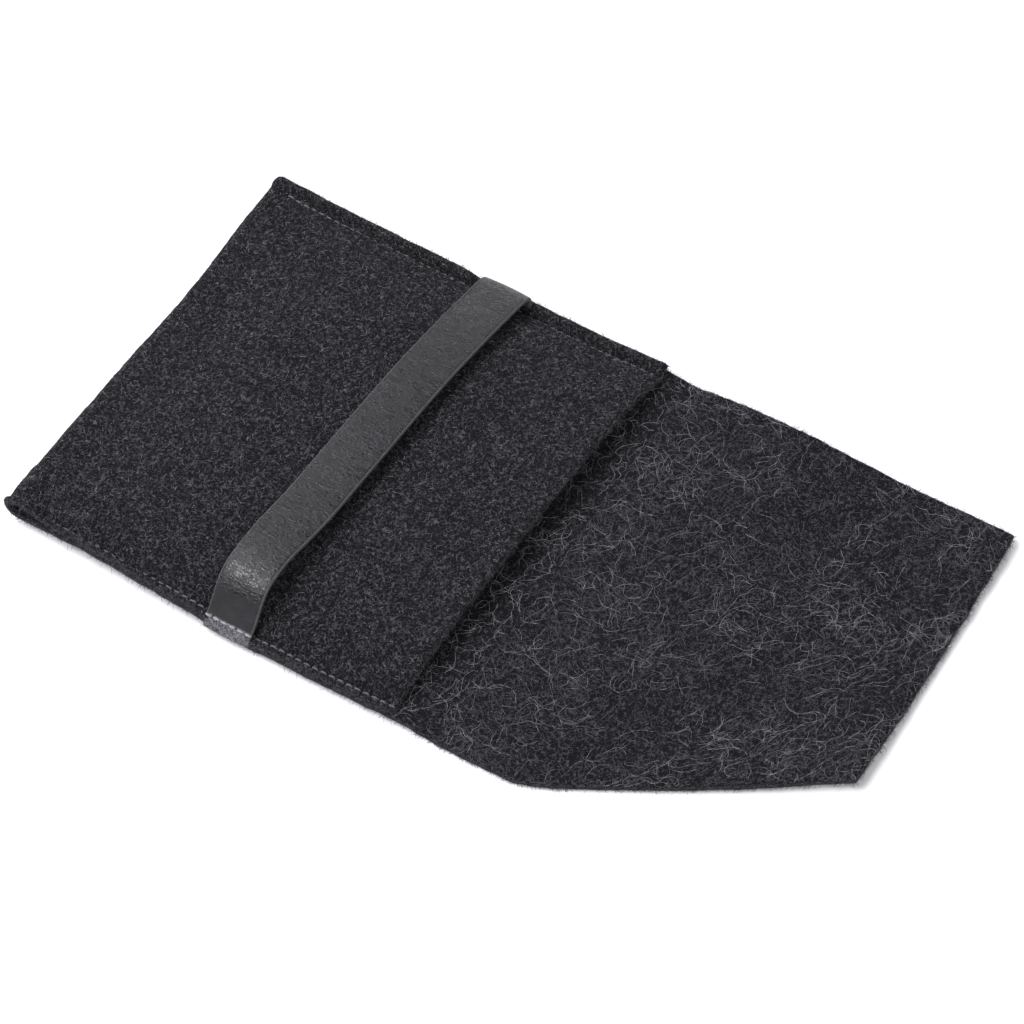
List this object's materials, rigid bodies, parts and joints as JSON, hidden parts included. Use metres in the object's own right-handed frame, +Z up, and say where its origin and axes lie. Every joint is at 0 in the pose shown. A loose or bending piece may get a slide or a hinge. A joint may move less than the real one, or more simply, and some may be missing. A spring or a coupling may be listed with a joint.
{
  "type": "soft pouch glasses case",
  "caption": "Soft felt envelope pouch with stitched sides, a hinged flap with one corner cut off, and a leather strap across the front that holds the flap shut.",
  "frame": {"origin": "bottom centre of the open pouch's box: on the surface it lies on, halfway along and across", "axes": "+X from the closed end to the flap's tip, +Y to the flap's square side, +Z up from the surface"},
  "size_m": [0.274, 0.156, 0.0208],
  "materials": {
    "felt": "matte thick wool felt, charcoal with light stray fibres",
    "leather": "smooth satin leather with fine grain",
    "thread": "twisted sewing thread, grey"
  },
  "bodies": {
    "pouch": {"back_panel": "felt", "end_fold": "felt", "front_panel": "felt", "strap_near_end": "leather", "strap_far_end": "leather", "near_seam_stitches": "thread", "far_seam_stitches": "thread", "strap_near_stitches": "thread", "strap_far_stitches": "thread"},
    "strap": {"strap": "leather"},
    "flap_spine": {"flap_spine": "felt"},
    "flap": {"flap": "felt"},
    "flap_tip": {"flap_tip": "felt"}
  },
  "joints": [
    {"name": "flap_fold", "type": "hinge", "parent": "pouch", "child": "flap_spine", "pos_m": [0.015, 0, 0.003], "axis": [0, -1, 0], "range_deg": [0, 83]},
    {"name": "flap_turn", "type": "hinge", "parent": "flap_spine", "child": "flap", "pos_m": [0.027, 0, 0.003], "axis": [0, -1, 0], "range_deg": [0, 83]},
    {"name": "flap_curl", "type": "hinge", "parent": "flap", "child": "flap_tip", "pos_m": [0.103, 0, 0.003], "axis": [0, -1, 0], "range_deg": [0, 33.2]},
    {"name": "strap_lift", "type": "slide", "parent": "pouch", "child": "strap", "axis": [0, 0, 1], "range_m": [0, 0.005]}
  ],
  "couplings": [
    {"joint": "flap_turn", "follows": "flap_fold", "ratio": 1},
    {"joint": "flap_curl", "follows": "flap_fold", "ratio": 0.4}
  ]
}
